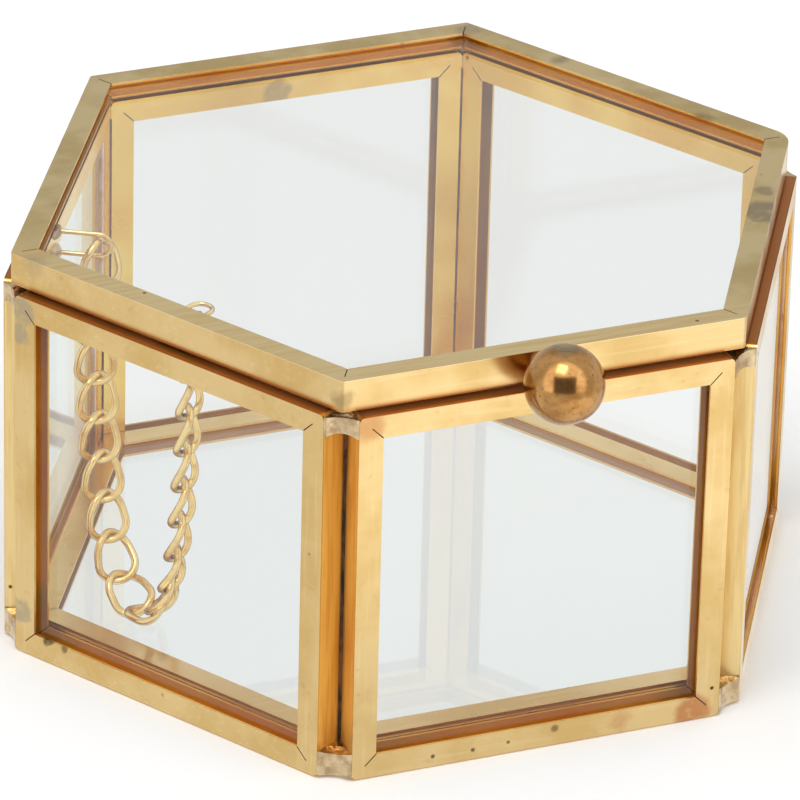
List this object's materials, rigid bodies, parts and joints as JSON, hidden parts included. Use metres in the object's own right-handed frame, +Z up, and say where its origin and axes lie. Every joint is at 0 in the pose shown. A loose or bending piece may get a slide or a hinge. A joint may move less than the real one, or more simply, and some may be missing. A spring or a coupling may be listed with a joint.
{
  "type": "glass casket box",
  "caption": "Hexagonal glass box with soldered brass channels, a glazed lid on a rear tube hinge, a ball knob and a chain that stops the lid.",
  "frame": {"origin": "centre of the hexagon, on the surface that the box stands on", "axes": "+Z up; -Y towards the face that carries the knob; +Y towards the hinge; +X to the right seen from the knob"},
  "size_m": [0.1076, 0.1062, 0.0587],
  "materials": {
    "channel_brass": "satin folded strip",
    "glass": "clear",
    "knob_brass": "polished, darkened",
    "solder": "dull tin solder",
    "hinge_brass": "satin",
    "chain_brass": "bright wire"
  },
  "bodies": {
    "case": {"front_came": "channel_brass", "front_pane": "glass", "front_right_came": "channel_brass", "front_right_pane": "glass", "rear_right_came": "channel_brass", "rear_right_pane": "glass", "rear_came": "channel_brass", "rear_pane": "glass", "rear_left_came": "channel_brass", "rear_left_pane": "glass", "front_left_came": "channel_brass", "front_left_pane": "glass", "floor_came": "channel_brass", "floor_pane": "glass", "top_corner_solder": "solder", "bottom_corner_solder": "solder", "wall_hinge_solder": "solder", "wall_staple_solder": "solder", "wall_hinge_tubes": "hinge_brass", "hinge_pin": "hinge_brass", "wall_staple": "chain_brass"},
    "lid": {"lid_came": "channel_brass", "lid_pane": "glass", "knob_ball": "knob_brass", "knob_solder": "solder", "lid_hinge_tube": "hinge_brass", "lid_hinge_solder": "solder", "lid_staple": "chain_brass", "lid_staple_solder": "solder"},
    "chain_links_1_to_8_body": {"chain_link_1": "chain_brass", "chain_link_2": "chain_brass", "chain_link_3": "chain_brass", "chain_link_4": "chain_brass", "chain_link_5": "chain_brass", "chain_link_6": "chain_brass", "chain_link_7": "chain_brass", "chain_link_8": "chain_brass"},
    "chain_link_9_body": {"chain_link_9": "chain_brass"},
    "chain_link_10_body": {"chain_link_10": "chain_brass"},
    "chain_links_11_to_18_body": {"chain_link_11": "chain_brass", "chain_link_12": "chain_brass", "chain_link_13": "chain_brass", "chain_link_14": "chain_brass", "chain_link_15": "chain_brass", "chain_link_16": "chain_brass", "chain_link_17": "chain_brass", "chain_link_18": "chain_brass"}
  },
  "joints": [
    {"name": "lid_hinge", "type": "hinge", "parent": "case", "child": "lid", "pos_m": [0, 0.04775, 0.05235], "axis": [-1, 0, 0], "range_deg": [0, 128.22]},
    {"name": "chain_links_1_to_8_pivot", "type": "hinge", "parent": "case", "child": "chain_links_1_to_8_body", "pos_m": [-0.03931, 0.00711, 0.0493], "axis": [0.5166, 0.7223, -0.4597], "range_deg": [-199.6, 0]},
    {"name": "chain_link_9_pivot", "type": "hinge", "parent": "chain_links_1_to_8_body", "child": "chain_link_9_body", "pos_m": [-0.03783, -0.00019, 0.00722], "axis": [-0.98, -0.199, 0], "range_deg": [-53.82, 0]},
    {"name": "chain_links_11_to_18_pivot", "type": "hinge", "parent": "lid", "child": "chain_links_11_to_18_body", "pos_m": [-0.03442, -0.01699, 0.0493], "axis": [0.4765, -0.5805, 0.6602], "range_deg": [0, 110.51]},
    {"name": "chain_link_10_pivot", "type": "hinge", "parent": "chain_links_11_to_18_body", "child": "chain_link_10_body", "pos_m": [-0.0359, -0.00969, 0.00722], "axis": [-0.98, -0.199, 0], "range_deg": [0, 53.82]}
  ],
  "couplings": [
    {"joint": "chain_links_1_to_8_pivot", "follows": "lid_hinge", "ratio": -1.5567},
    {"joint": "chain_link_9_pivot", "follows": "lid_hinge", "ratio": -0.4197},
    {"joint": "chain_links_11_to_18_pivot", "follows": "lid_hinge", "ratio": 0.86189},
    {"joint": "chain_link_10_pivot", "follows": "lid_hinge", "ratio": 0.4197}
  ]
}
